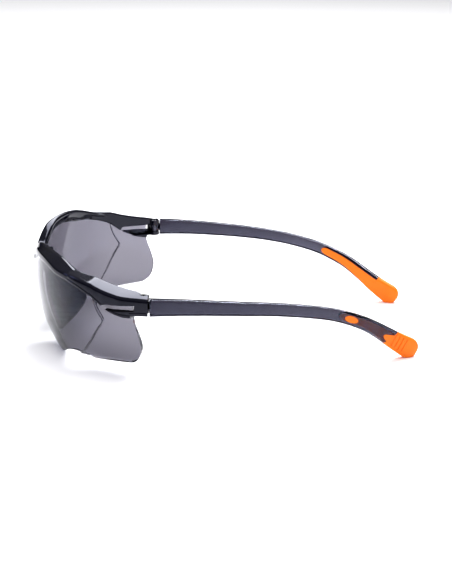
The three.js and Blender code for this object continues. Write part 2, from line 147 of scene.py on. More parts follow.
WELD = 2e-7  # metres


def tube(name, section, steps):
    """section(t) gives the same number of corners for every t from 0 to 1."""
    rings = [section(step / steps) for step in range(steps + 1)]
    sides = len(rings[0])
    bm = bmesh.new()
    bmesh.ops.create_grid(bm, x_segments=sides, y_segments=steps, size=0.5)
    for v in bm.verts:
        side = round((v.co.x + 0.5) * sides) % sides
        v.co = placed(rings[round((v.co.y + 0.5) * steps)][side])
    bmesh.ops.remove_doubles(bm, verts=bm.verts, dist=WELD)
    open_edges = [edge for edge in bm.edges if edge.is_boundary]
    bmesh.ops.holes_fill(bm, edges=open_edges, sides=0)
    return finished(bm, name)


def plate(name, columns, rows, surface, marks=None):
    """surface(u, w, side) over the columns' u and w from 0 to 1; side is 0 below and 1 above.
    marks(u, w, side) is true where a face takes the second material."""
    count = len(columns) - 1
    bm = bmesh.new()
    bmesh.ops.create_grid(bm, x_segments=count, y_segments=rows, size=0.5)
    skin = bmesh.ops.extrude_face_region(bm, geom=bm.faces[:], use_keep_orig=True)
    for v in skin["geom"]:
        if isinstance(v, bmesh.types.BMVert):
            v.co.z = 1
    for face in bm.faces if marks else ():
        x, y, side = face.calc_center_median()
        left = min(count - 1, int((x + 0.5) * count))
        face.material_index = int(marks(mix(columns[left], columns[left + 1], 0.5), y + 0.5, side))
    for v in bm.verts:
        u = columns[round((v.co.x + 0.5) * count)]
        v.co = placed(surface(u, v.co.y + 0.5, v.co.z))
    return finished(bm, name)


def slab(name, outline, start, stop, turn=None):
    """An outline of (a, b) pushed from start to stop; turn(a, b, c) gives the drawn point."""
    bm = bmesh.new()
    bm.faces.new([bm.verts.new((a, b, 0)) for a, b in outline])
    skin = bmesh.ops.extrude_face_region(bm, geom=bm.faces[:], use_keep_orig=True)
    for v in skin["geom"]:
        if isinstance(v, bmesh.types.BMVert):
            v.co.z = 1
    for v in bm.verts:
        depth = mix(start, stop, v.co.z)
        v.co = placed(turn(v.co.x, v.co.y, depth) if turn else Vector((v.co.x, v.co.y, depth)))
    return finished(bm, name)


def drum(name, x, y, radius, bottom, top, sides=48):
    """An upright round bar about (x, y)."""
    bm = bmesh.new()
    bmesh.ops.create_cone(
        bm, cap_ends=True, segments=sides, radius1=radius / 1000, radius2=radius / 1000,
        depth=(top - bottom) / 1000,
    )
    bmesh.ops.translate(bm, verts=bm.verts, vec=placed(Vector((x, y, (bottom + top) / 2))))
    return finished(bm, name)


def block(name, low, high):
    """A plain box between two drawn corners."""
    bm = bmesh.new()
    bmesh.ops.create_cube(bm, size=1)
    for v in bm.verts:
        v.co = placed(Vector(mix(low[k], high[k], v.co[k] + 0.5) for k in range(3)))
    return finished(bm, name)


# %% [markdown]
# Real mouldings are full of holes, slots and joined bosses. The Manifold solver of the Boolean modifier
# joins and cuts closed meshes quickly and keeps them closed, so a piece is built up and cut in a list.
# %% Joining and cutting
def worked(piece, *steps):
    """Each step is (operation, other object); the others are used up."""
    for operation, other in steps:
        cut = piece.modifiers.new("cut", "BOOLEAN")
        cut.operation = operation
        cut.solver = "MANIFOLD"
        cut.object = other
        mesh = bpy.data.meshes.new_from_object(
            piece.evaluated_get(bpy.context.evaluated_depsgraph_get())
        )
        piece.modifiers.clear()
        piece.data = mesh
        bpy.data.objects.remove(other)
    print(piece.name, "has", len(piece.data.polygons), "faces")
    return piece


def mirrored(piece, name):
    """The same piece for the wearer's right side."""
    bm = bmesh.new()
    bm.from_mesh(piece.data)
    bmesh.ops.transform(bm, matrix=Matrix.Scale(-1, 4, (1, 0, 0)), verts=bm.verts)
    return finished(bm, name)


def shaded(piece, degrees=32):
    """Smooth shading, with a crisp line where two faces meet at more than an angle."""
    piece.data.shade_smooth()
    piece.data.set_sharp_from_angle(angle=math.radians(degrees))
    return piece


# %% [markdown]
# The lens wraps round the face as part of an oval bowl, then folds at a crease on each side and runs
# straight back as a side shield. One function gives any point of its outer face: q is 0 at the nose,
# 1 at the crease and 2 at the rear edge of the shield, and below 0 on the wearer's right.
# %% The surface of the lens
LENS_HALF_WIDTH, LENS_REACH, LENS_CENTRE_Y, LENS_EQUATOR, LENS_BOW = 66, 43, -11, 30, 60
LENS_THICKNESS = 2
CREASE_ANGLE = math.radians(72)
SHIELD_REAR_Y, SHIELD_FLARE = -8, 0.3

crease_ahead = track(
    (5, 20.6), (12.5, 15.8), (19, 12.3), (22.2, 10.2), (23.4, 9.4), (24.6, 9.9), (27, 11.4), (31, 13.1),
    (36, 14),
)
rear_edge = track(
    (4.6, -8), (4.75, -3.4), (5.2, -0.6), (6, 1), (7.4, 2.2), (9.6, 3.1), (13.1, 3.6), (18.3, 2.5),
    (25.6, 0.2), (30, 0),
)
lens_foot = track(
    (0, 29.3), (0.05, 28.6), (0.09, 26), (0.122, 20), (0.158, 13), (0.2, 6.5), (0.264, 2), (0.339, 0.3),
    (0.385, 0), (0.48, 0.6), (0.575, 2.2), (0.667, 4.2), (0.8, 5.9), (1, 6), (1.3, 4.8), (1.6, 4.4), (2, 4.6),
)
bar_foot = track(
    (0, 33.5), (0.06, 34.4), (0.124, 37), (0.174, 39), (0.225, 40.3), (0.316, 40.9), (0.47, 41),
    (0.564, 40.1), (0.631, 39.1), (0.738, 38.4), (0.8, 37.8), (0.907, 36), (1, 34),
)
tab_top = track((0.85, 39.2), (1, 35.8), (1.2, 33.6), (1.5, 33.2), (2, 33.2))
LENS_BITE = 2.4  # lens held inside the bar


def lens_top(q):
    return bar_foot(q)[0] + LENS_BITE if q < 0.85 else tab_top(q)[0]


def sag(z):
    return LENS_BOW - math.sqrt(LENS_BOW**2 - (z - LENS_EQUATOR) ** 2)


def front_point(angle, z):
    return Vector((
        (LENS_HALF_WIDTH - sag(z)) * math.sin(angle),
        LENS_CENTRE_Y - (LENS_REACH - sag(z)) * math.cos(angle),
        z,
    ))


def lens_point(q, z):
    way = abs(q)
    at_crease = math.acos(crease_ahead(z)[0] / (LENS_REACH - sag(z)))
    if way <= 1:
        point = front_point(CREASE_ANGLE * way + (at_crease - CREASE_ANGLE) * way**4, z)
    else:
        point = front_point(at_crease, z)
        run = SHIELD_REAR_Y + rear_edge(z)[0] - point.y
        flare = SHIELD_FLARE + 0.012 * max(0, 23 - z)
        point += Vector((flare * run, run, 0)) * (way - 1)
    if q < 0:
        point.x = -point.x
    return point


def off_lens(q, out, z):
    """A point out from the lens by a distance, square to it in plan."""
    along = lens_point(q + 1e-3, LENS_EQUATOR) - lens_point(q - 1e-3, LENS_EQUATOR)
    return lens_point(q, z) + Vector((along.y, -along.x, 0)).normalized() * out


print("lens is", round(lens_point(2, 30).x * 2, 1), "mm wide at the rear of its shields")

# %% [markdown]
# The lens is moulded in one shot of smoke polycarbonate, 2 mm thick. Its fold is sharp, and below the
# arm the shield stands a little proud of the front. A real fold turns light aside and looks black, so
# a narrow strip of faces along it takes a dark second material as painted shade, two strips below the kink.
# Columns are packed close there to hold the fold, and a small bevel rounds the rim to catch light.
# %% Lens
SHIELD_STEP = 0.55  # the shield stands this far proud where the arm does not cover it


def spaced(start, stop, count):
    return [mix(start, stop, i / count) for i in range(count + 1)]


STEP_WIDTH = 0.002  # as a difference of q
LINE_AHEAD, LINE_BEHIND = (0.992, 0.999), (1.018, 1.034)  # two fine lines of painted shade along the fold
KINK = 23  # the fold turns at this height, and the second line is only below it
half_columns = spaced(0, 0.96, 60) + [0.98, *LINE_AHEAD, LINE_AHEAD[1] + STEP_WIDTH, *LINE_BEHIND]
half_columns += spaced(1.05, 1.9, 20) + spaced(1.92, 2, 4)
lens_columns = [-q for q in reversed(half_columns[1:])] + half_columns


arm_bottom = track(
    (0.93, 35.9), (1, 34.1), (1.1, 32.6), (1.2, 31.2), (1.3, 29.7), (1.53, 27.8), (1.75, 26.9), (2, 26.4),
)


def step_out(q, z):
    """How far the shield's outer face stands proud at a place; nothing inside the arm's groove."""
    behind = min(1, max(0, (abs(q) - LINE_AHEAD[1]) / STEP_WIDTH))
    below = min(1, max(0, (arm_bottom(abs(q))[0] - 0.3 - z) / 1.5))
    return SHIELD_STEP * behind * below


def lens_normal(q, z, step=2e-3):
    across = lens_point(q + step, z) - lens_point(q - step, z)
    up = lens_point(q, z + 0.05) - lens_point(q, z - 0.05)
    return across.cross(up).normalized()


def height_at(q, w):
    return mix(lens_foot(abs(q))[0], lens_top(abs(q)), w**2)  # rows are closest at the rounded foot


def lens_skin(q, w, side):
    z = height_at(q, w)
    out = step_out(q, z) if side else step_out(q, z) - LENS_THICKNESS
    return lens_point(q, z) + lens_normal(q, z) * out


# Faces on the fold that take the near-black material of painted shade.
def on_fold(q, w, side):
    ahead = LINE_AHEAD[0] < abs(q) < LINE_AHEAD[1]
    behind = LINE_BEHIND[0] < abs(q) < LINE_BEHIND[1] and height_at(q, w) < KINK
    return side == 1 and (ahead or behind)


lens = plate("smoke_lens", lens_columns, 44, lens_skin, on_fold)
rim = lens.modifiers.new("rim", "BEVEL")
rim.width, rim.segments, rim.limit_method, rim.angle_limit = 0.0003, 2, "ANGLE", math.radians(60)
shaded(lens, 22)
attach(lens, "frame")
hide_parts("lens")
fold_faces = [face.index for face in lens.data.polygons if face.material_index]
print("lens has", len(lens.data.polygons), "faces before its bevel,", len(fold_faces), "of them on the fold")

# %% [markdown]
# The brow frame is one moulding: a bar along the top of the lens and an arm on each side. The bar's
# section has an upright front, a top that slopes up and back to a ridge, and a wall behind the lens.
# Its corners are rounded in the section itself, which gives the long even highlights of a moulding.
# %% Sections with rounded corners
def rounded(corners, radii, steps=5):
    """Each corner of a closed section becomes a few points on a small curve."""
    ring = []
    for i, corner in enumerate(corners):
        here = Vector(corner)
        back = Vector(corners[i - 1]) - here
        ahead = Vector(corners[(i + 1) % len(corners)]) - here
        start = here + back.normalized() * min(radii[i], back.length * 0.48)
        stop = here + ahead.normalized() * min(radii[i], ahead.length * 0.48)
        for step in range(steps):
            t = step / (steps - 1)
            ring.append(start * (1 - t) ** 2 + here * 2 * t * (1 - t) + stop * t * t)
    return ring


LIP_DEPTH, LIP_HEIGHT, BAR_WALL, PLAY = 1.4, 3.0, 1.1, 0.3
bar_inner = -LENS_THICKNESS - PLAY - BAR_WALL
ridge = track(
    (0, 38.4, 0.3, -2.4), (0.07, 39.6, 0.2, -2.4), (0.124, 42, 0, -2.4), (0.174, 44, -0.1, -2.4),
    (0.225, 45.6, -0.3, -2.45), (0.27, 46.3, -0.8, -2.5), (0.32, 46.6, -1.2, -2.6), (0.47, 46.65, -1.8, -3),
    (0.58, 45.9, -2.3, -3.6), (0.68, 44.4, -2.5, -4.2), (0.8, 42.2, -2.5, -4.8), (0.9, 41, -2.5, -4.7),
    (1.06, 39.4, -2.5, -4.4),
)
BAR_END = 1.05


def bar_section(t):
    q = mix(-BAR_END, BAR_END, t)
    foot = bar_foot(abs(q))[0]
    top, out, rear = ridge(abs(q))
    soft = max(0, 1 - abs(q) / 0.2)  # the bridge is rounder
    corners = [
        (LIP_DEPTH - 0.5, foot),
        (LIP_DEPTH, foot + 0.7),
        (LIP_DEPTH, foot + LIP_HEIGHT - 0.5),
        (LIP_DEPTH - 0.6, foot + LIP_HEIGHT + 0.3),
        (out + 0.9, top - 0.1),
        (out, top),
        (rear, top - 0.9),
        (bar_inner, foot + 2.2),
        (bar_inner + 0.3, foot + 1.3 * (1 - soft)),
    ]
    radii = [0.35, 0.5, 0.5 + soft, 0.4 + soft, 0.5, 0.5, 0.9, 1.5, 0.2]
    return [off_lens(q, a, b) for a, b in rounded(corners, radii)]


bar = tube("brow_bar", bar_section, 180)
print("bar has", len(bar.data.polygons), "faces")

# %% [markdown]
# Each arm grows out of the bar as a raised overlay with a rounded nose, runs back along the shield's
# top edge, and ends in the block that carries the hinge. A narrow bead runs along its lower edge.
# It is a second tube, joined to the bar, with the end block as a third.
# %% Arms
arm_track = track(
    (0.775, 0.9, 0, 41.8, 42.6, 38.5), (0.785, 1.8, 0, 41.8, 42.5, 38.3), (0.8, 2.1, 0.1, 41.7, 42.3, 38.1),
    (0.84, 2.3, 0.2, 41.4, 41.8, 37.6), (0.93, 2.5, 0.7, 40.4, 41.2, 35.9), (1, 2.7, 1.1, 39.6, 40.9, 34.1),
    (1.1, 3, 1.2, 38.7, 40.4, 32.6), (1.2, 3.2, 1.1, 38, 39.8, 31.2), (1.3, 3.5, 0.9, 37.4, 39.3, 29.7),
    (1.53, 3.9, 0.6, 36.3, 38.3, 27.8), (1.75, 4.1, 0.5, 35.5, 37.5, 26.9), (2, 3.2, 0.4, 34.9, 36.7, 26.4),
)
end_track = track(  # the same for the end block, by its distance behind the shield
    (0, 3.2, 0.4, 34.9, 36.7, 27.3), (3.1, 2.1, 0, 34.5, 35.9, 27.3), (7.8, 1.6, -0.6, 34.2, 35.3, 27.3),
)
shield_run = lens_point(2, LENS_EQUATOR).y - lens_point(1, LENS_EQUATOR).y


def arm_tube(name, section_at, start, stop, steps, bead, place_of=lambda along: along):
    def section(t):
        along = mix(start, stop, t)
        q = place_of(along)
        outer, behind, top_out, top_in, bottom = section_at(along)
        inner = bar_inner - behind
        corners = [
            (outer - 0.6, bottom), (outer, bottom + 0.5), (outer, bottom + 1.2),
            (outer - bead, bottom + 1.45), (outer - 0.1, bottom + 1.7), (outer - 0.1, top_out - 0.6),
            (outer - 0.8, top_out),
            (inner + 0.6, top_in), (inner, top_in - 0.6), (inner, bottom + 0.5), (inner + 0.5, bottom),
        ]
        radii = [0.4, 0.3, 0.1, 0.1, 0.1, 0.8, 0.8, 0.6, 0.6, 0.4, 0.4]
        return [off_lens(q, a, b) for a, b in rounded(corners, radii)]

    return tube(name, section, steps)


EAR_RADIUS, KNUCKLE_BOTTOM, KNUCKLE_TOP = 2.4, 27.8, 34.9
TONGUE_RADIUS, TONGUE_BOTTOM, TONGUE_TOP = 2.1, 29.8, 32.5
SCREW_RADIUS, HEAD_RADIUS, HEAD_HEIGHT, PIN_PLAY = 0.8, 1.5, 0.9, 0.12
ARM_END_Y = -1.6
ARM_START, BEAD = 0.775, 0.25  # q of the arm's nose, and how deep the line above its bead is
ROOT_DEPTH = 2.1  # from the hinge axis into the end block
END_OVERLAP = 0.3  # the end block starts inside the arm

# q, lower and upper edge of the window through the arm, which shows the shield held inside it
slot_edges = track(
    (1.17, 30.45, 30.55), (1.27, 29.7, 31.4), (1.39, 29.35, 31.8), (1.5, 29.3, 31.85), (2.09, 29.4, 31.9),
)
SLOT_TALLER = 1.4  # the window behind the shield is taller, so that light comes through at a slant
SLOT_START, SLOT_END, SLOT_TAPER, SLOT_REACH = 1.17, 2.09, 0.15, 8


def slot_tube(name, near, away_by, taller):
    def section(t):
        q = mix(SLOT_START, SLOT_END, t)
        low, high = slot_edges(q)
        more = taller * min(1, (q - SLOT_START) / SLOT_TAPER)
        corners = [(near, low - more), (away_by, low - more), (away_by, high + more), (near, high + more)]
        return [off_lens(q, a, b) for a, b in corners]

    return tube(name, section, 40)


arm = arm_tube("arm", arm_track, ARM_START, 2, 80, BEAD)
worked(
    arm,
    ("UNION", arm_tube(
        "end_block", end_track, -END_OVERLAP, ARM_END_Y - SHIELD_REAR_Y + 1, 20, 0,
        lambda behind: 2 + behind / shield_run,
    )),
    ("DIFFERENCE", block("end_cut", (40, ARM_END_Y, 0), (90, 20, 60))),
    ("UNION", drum("knuckle", hinge_x, hinge_y, EAR_RADIUS, KNUCKLE_BOTTOM, KNUCKLE_TOP)),
    ("UNION", block(
        "knuckle_root", (hinge_x, hinge_y - EAR_RADIUS, KNUCKLE_BOTTOM),
        (hinge_x + ROOT_DEPTH, ARM_END_Y, KNUCKLE_TOP - 0.6),
    )),
    ("DIFFERENCE", slot_tube("outer_slot", -LENS_THICKNESS / 2, SLOT_REACH, 0)),
    ("DIFFERENCE", slot_tube("inner_slot", -SLOT_REACH, -LENS_THICKNESS / 2, SLOT_TALLER)),
    ("DIFFERENCE", drum(
        "tongue_room", hinge_x, hinge_y, EAR_RADIUS + 2, TONGUE_BOTTOM - PLAY, TONGUE_TOP + PLAY,
    )),
    ("DIFFERENCE", drum(
        "bore", hinge_x, hinge_y, SCREW_RADIUS + PIN_PLAY, KNUCKLE_BOTTOM - 1, KNUCKLE_TOP + 1,
    )),
    ("DIFFERENCE", drum(
        "head_room", hinge_x, hinge_y, HEAD_RADIUS + PIN_PLAY,
        KNUCKLE_TOP - HEAD_HEIGHT - PLAY, KNUCKLE_TOP + 1,
    )),
)
other_arm = mirrored(arm, "other_arm")

# %% [markdown]
# Both arms join the bar, with a small boss for the nose saddle behind the bridge. Last, the groove for
# the lens is cut: it is the lens itself, made a little fatter, so that lens and groove always agree.
# %% Brow frame
GROOVE_DEPTH = 12
STEM_WIDTH, STEM_DEPTH, STEM_BITE, BOSS_WALL = 6, 1.8, 2.2, 1.2
bridge_inner_y = LENS_CENTRE_Y - LENS_REACH + LENS_THICKNESS + PLAY + BAR_WALL
boss_bottom = bar_foot(0)[0] + 0.2
boss_half = STEM_WIDTH / 2 + PLAY + BOSS_WALL
socket_rear = bridge_inner_y + STEM_DEPTH + 2 * PLAY


def groove_skin(q, w, side):
    way = min(2, abs(q))
    top = lens_top(way)
    z = mix(top - GROOVE_DEPTH, top + PLAY, w)
    return lens_point(q, z) + lens_normal(q, z) * (PLAY if side else -LENS_THICKNESS - PLAY)


groove_end = 2 + PLAY / 16
groove_columns = [-groove_end] + lens_columns[1:-1] + [groove_end]
brow = worked(
    bar,
    ("UNION", arm),
    ("UNION", other_arm),
    ("UNION", block(
        "boss", (-boss_half, bridge_inner_y - 0.6, boss_bottom),
        (boss_half, socket_rear + BOSS_WALL, boss_bottom + STEM_BITE + BOSS_WALL + 0.6),
    )),
    ("DIFFERENCE", block(
        "socket", (-STEM_WIDTH / 2 - PLAY, bridge_inner_y, boss_bottom - 5),
        (STEM_WIDTH / 2 + PLAY, socket_rear, boss_bottom + STEM_BITE + PLAY),
    )),
    ("DIFFERENCE", plate("groove", groove_columns, 14, groove_skin)),
)
shaded(brow)
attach(brow, "frame")
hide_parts("brow_frame")

# %% [markdown]
# The nose saddle is a springy bridge with a wing down each side of the nose. Its edge follows the
# inside of the lens, and its rear edge leans back to where the nose widens. Each wing carries a soft
# pad with ribs across it, so that the glasses do not slide.
# %% Nose saddle and pads
SADDLE_THICKNESS, PAD_THICKNESS, RIB_HEIGHT, RIB_COUNT, SADDLE_SETBACK = 1.5, 1.5, 0.45, 7, 0.7
FLUTE_DEPTH, FLUTE_COUNT = 0.6, 12
PAD_RUN, PAD_BREADTH = (0.36, 0.97), (0.12, 0.92)  # the part of a wing that its pad covers
wing = track(
    (0, 0, 0, 28.2, 8.4), (0.14, 0.055, 0.067, 27.4, 9.5), (0.3, 0.109, 0.136, 24.6, 13),
    (0.5, 0.155, 0.197, 19.6, 18.6), (0.75, 0.197, 0.227, 11.2, 11.5), (1, 0.227, 0.239, 4.6, 1.7),
)


def saddle_point(u, w):
    front, rear, z, depth = wing(abs(u))
    front_y = front_point(math.asin(front), z).y + LENS_THICKNESS + SADDLE_SETBACK
    x = mix(front, rear, w) * LENS_HALF_WIDTH * (-1 if u < 0 else 1)
    return Vector((x, front_y + mix(0.8, depth, w), z))


def off_surface(surface, u, w, out, step=1e-3):
    across_u = surface(u + step, w) - surface(u - step, w)
    across_w = surface(u, w + step) - surface(u, w - step)
    return surface(u, w) + across_u.cross(across_w).normalized() * out


def saddle_skin(u, w, side):
    wave = 0.5 - 0.5 * math.cos(2 * math.pi * FLUTE_COUNT * u)
    flutes = FLUTE_DEPTH * wave**3 * min(1, 4 * max(0, abs(u) - 0.15))
    return off_surface(saddle_point, u, w, (SADDLE_THICKNESS - flutes) * side)


saddle = plate("nose_bridge", spaced(-1, 1, 256), 12, saddle_skin)
stem_bottom = wing(0)[2] - 1
worked(saddle, ("UNION", block(
    "stem", (-STEM_WIDTH / 2, bridge_inner_y + PLAY, stem_bottom),
    (STEM_WIDTH / 2, bridge_inner_y + PLAY + STEM_DEPTH, boss_bottom + STEM_BITE),
)))
edge = saddle.modifiers.new("edge", "BEVEL")
edge.width, edge.segments, edge.limit_method, edge.angle_limit = 0.0003, 3, "ANGLE", math.radians(50)
shaded(saddle, 40)
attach(saddle, "frame")
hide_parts("nose_saddle")


def pad_point(u, w):
    return saddle_point(mix(*PAD_RUN, u), mix(*PAD_BREADTH, w))


def pad_skin(u, w, side):
    fade = min(1, 6 * w, 6 * (1 - w), 12 * u, 12 * (1 - u))
    rib = -PLAY - PAD_THICKNESS + (1 - fade) * 0.7 - RIB_HEIGHT * fade * math.cos(2 * math.pi * RIB_COUNT * u)
    return off_surface(pad_point, u, w, -PLAY if side else rib)


pad_left = plate("ribbed_pad_left", spaced(0, 1, RIB_COUNT * 12), 14, pad_skin)
pad_right = mirrored(pad_left, "ribbed_pad_right")
for pad, side in ((pad_left, "left"), (pad_right, "right")):
    shaded(pad, 50)
    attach(pad, "frame")
    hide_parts(f"nose_pad_{side}")
print("each pad has", len(pad_left.data.polygons), "faces")

# %% [markdown]
# A temple is a flat bar of smoke plastic with rounded edges. It runs back nearly level, then bends
# down behind the ear and tucks inward. A table of tuck, drop and height along its length drives a tube.
# %% The line of a temple
TEMPLE_FRONT_Y, TEMPLE_LENGTH, TEMPLE_X, TEMPLE_Z = -0.9, 110.4, 69.2, 30.9
TEMPLE_THICKNESS, TIP_THICKNESS = 4.2, 3.4
CAP_INSET = 0.1  # the rounded end stays this far inside a half circle
temple_path = track(
    (0, 0, 0, 7.4), (0.115, 0.5, 0.2, 6.8), (0.23, 1.5, 0.8, 6.3), (0.345, 3, 1.6, 5.9),
    (0.46, 5.4, 2.6, 5.6), (0.575, 8.5, 4.3, 5.5), (0.695, 13, 7.2, 5.5), (0.755, 15.7, 9.6, 5.7),
    (0.82, 18.8, 13, 6.1), (0.88, 22.4, 17.4, 6.8), (0.945, 25.7, 22.7, 8.1), (1, 27.8, 26.7, 9.2),
)
thickness_at = track(
    (0, TEMPLE_THICKNESS), (0.3, TEMPLE_THICKNESS - 0.3), (0.65, TIP_THICKNESS), (1, TIP_THICKNESS),
)


def temple_middle(share):
    tuck, drop, _ = temple_path(share)
    return Vector((TEMPLE_X - tuck, TEMPLE_FRONT_Y + share * TEMPLE_LENGTH, TEMPLE_Z - drop))


def temple_frame(share, step=2e-3):
    """Middle, outward, upward and rearward directions at a share of the length."""
    back = (temple_middle(min(1, share + step)) - temple_middle(max(0, share - step))).normalized()
    if share <= 0:
        back = Vector((0, 1, 0))
    out = Vector((back.y, -back.x, 0)).normalized()
    return temple_middle(share), out, out.cross(back).normalized(), back


def temple_at(share, sideways, upward, beyond=0):
    middle, out, up, back = temple_frame(share)
    return middle + out * sideways + up * upward + back * beyond


def temple_tube(name, steps=110, cap_steps=14):
    total = steps + cap_steps

    def section(t):
        step = round(t * total)
        share = min(1, step / steps)
        lean = max(0, step - steps) / cap_steps
        shrink = math.cos(lean * math.pi * 0.47)
        half_height = temple_path(share)[2] / 2
        half_width = thickness_at(share)[0] / 2
        beyond = math.sin(lean * math.pi / 2) * (half_height - CAP_INSET)
        half_width *= shrink**0.6
        half_height *= shrink
        corners = [(1, 1), (-1, 1), (-1, -1), (1, -1)]
        soft = min(1.3, half_width * 0.8)
        ring = rounded([(a * half_width, b * half_height) for a, b in corners], [soft] * 4, 8)
        return [temple_at(share, a, b, beyond) for a, b in ring]

    return tube(name, section, total)


print("the temple ends at y", round(temple_middle(1).y, 1))

# %% [markdown]
# The soft tip is over-moulded: a cap round the end of the temple, a strip let into its inner face,
# and a small oval that comes through a window to the outer face. Temple and tip share each cutting
# shape, one grown by a hair, so they fit with no visible gap.
# %% Cutting shapes of the tip
HAIR = 0.03
GRIP_REACH, GRIP_DEPTH, GRIP_HALF_WIDTH = 3, 0.25, 0.2
CUT_REACH = 40  # far past every face of a temple
STRIP_DEPTH, STRIP_LENGTH, CAP_LENGTH = 2.2, 31.3, 8.5
CAP_TILT = math.radians(33)
WINDOW_AHEAD, WINDOW_LENGTH, WINDOW_HEIGHT = 26.3, 6.8, 2.9
strip_edges = track((0.71, -0.5, 0.62), (0.8, -0.6, 0.6), (0.93, -0.84, 0.66), (0.97, -0.9, 0.68))


def strip_tube(name, grow, overrun):
    start = 1 - STRIP_LENGTH / TEMPLE_LENGTH

    def section(t):
        share = mix(start - grow / TEMPLE_LENGTH, 0.97, t)
        half = temple_path(share)[2] / 2
        low, high = strip_edges(share)
        nose = math.sqrt(1 - (1 - min(1, t * 11)) ** 2)
        middle, reach = (low + high) / 2 * half, (high - low) / 2 * half * max(0.12, nose) + grow
        face = -thickness_at(share)[0] / 2
        corners = [
            (face + STRIP_DEPTH + grow, middle + reach), (face - overrun, middle + reach),
            (face - overrun, middle - reach), (face + STRIP_DEPTH + grow, middle - reach),
        ]
        return [temple_at(share, a, b) for a, b in rounded(corners, [0.4, 0.15, 0.15, 0.4], 4)]

    return tube(name, section, 60)


def window_slab(name, grow, reach):
    share = 1 - WINDOW_AHEAD / TEMPLE_LENGTH
    outline = [
        ((WINDOW_LENGTH / 2 + grow) * math.cos(turn), (WINDOW_HEIGHT / 2 + grow) * math.sin(turn))
        for turn in (2 * math.pi * i / 48 for i in range(48))
    ]
    half = thickness_at(share)[0] / 2

    def turn(a, b, c):
        middle, out, up, back = temple_frame(share)
        return middle + back * a + up * b + out * c

    return slab(name, outline, -half + STRIP_DEPTH * 0.5, half + reach, turn)


def behind_cap(name, shift):
    """Everything behind the sloping line where the cap starts; a small lobe of it reaches forward."""
    middle = temple_middle(1 - CAP_LENGTH / TEMPLE_LENGTH)
    lobe = [
        (0, -1.7), (-1.3, -1.9), (-2.6, -1.7), (-3.1, -1.2), (-2.9, -0.6), (0.1, 2.2), (0.5, 2.8), (0.2, 3.3),
    ]
    line = [(0, -CUT_REACH), *lobe, (0, CUT_REACH), (2 * CUT_REACH, CUT_REACH), (2 * CUT_REACH, -CUT_REACH)]

    def turn(a, b, c):
        lean, rise = math.sin(CAP_TILT), math.cos(CAP_TILT)
        return middle + Vector((c, (a + shift) * lean + b * rise, b * lean - (a + shift) * rise))

    return slab(name, line, -CUT_REACH, CUT_REACH, turn)


def grip_groove(ahead):
    """A shallow groove across the cap's outer face, this far ahead of the temple's last section."""
    share = 1 - ahead / TEMPLE_LENGTH
    middle, out, up, back = temple_frame(share)
    face = thickness_at(share)[0] / 2
    low, high = (-GRIP_HALF_WIDTH, -GRIP_REACH), (GRIP_HALF_WIDTH, GRIP_REACH)
    outline = [low, (high[0], low[1]), high, (low[0], high[1])]
    return slab(
        "grip", outline, face - GRIP_DEPTH, face + 1, lambda a, b, c: middle + back * a + up * b + out * c,
    )


# %% [markdown]
# The tongue at the front of the temple reaches between the frame's knuckles round the hinge screw.
# Then each piece is cut: the temple loses the cap's end, the strip's recess and the window, and the
# tip keeps exactly those. Fine grooves run across the cap's outer face for grip.
# %% Temples and tips
tongue_outline = [
    (hinge_x - 1.2, hinge_y + 1.7), (TEMPLE_X - TEMPLE_THICKNESS / 2 + 0.1, TEMPLE_FRONT_Y + 0.6),
    (TEMPLE_X + 1.1, TEMPLE_FRONT_Y + 0.6), (TEMPLE_X + 0.6, TEMPLE_FRONT_Y - 0.6),
    (hinge_x + 1.2, hinge_y - 1.7),
]
temple_left = worked(
    temple_tube("smoke_temple_left"),
    ("DIFFERENCE", behind_cap("cap_cut", 0)),
    ("UNION", slab("tongue", tongue_outline, TONGUE_BOTTOM, TONGUE_TOP)),
    ("UNION", drum("eye", hinge_x, hinge_y, TONGUE_RADIUS, TONGUE_BOTTOM, TONGUE_TOP)),
    ("DIFFERENCE", drum(
        "eye_bore", hinge_x, hinge_y, SCREW_RADIUS + PIN_PLAY, TONGUE_BOTTOM - 1, TONGUE_TOP + 1,
    )),
    ("DIFFERENCE", strip_tube("recess", HAIR, 1)),
    ("DIFFERENCE", window_slab("window", HAIR, 2)),
)
tip_left = worked(
    temple_tube("soft_tip_left"),
    ("INTERSECT", behind_cap("cap_keep", HAIR)),
    ("UNION", strip_tube("strip", 0, 0)),
    ("UNION", window_slab("plug", 0, 0)),
    ("DIFFERENCE", block("rest", (-100, 0, -20), (100, 300, 0))),
    *(("DIFFERENCE", grip_groove(ahead)) for ahead in (7.2, 5.6, 4, 2.4)),
)
temple_right = mirrored(temple_left, "smoke_temple_right")
tip_right = mirrored(tip_left, "soft_tip_right")
for side, temple, tip in (("left", temple_left, tip_left), ("right", temple_right, tip_right)):
    shaded(temple)
    shaded(tip)
    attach(temple, f"temple_{side}")
    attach(tip, f"temple_{side}")
    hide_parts(f"temple_{side}")
    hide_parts(f"tip_{side}")

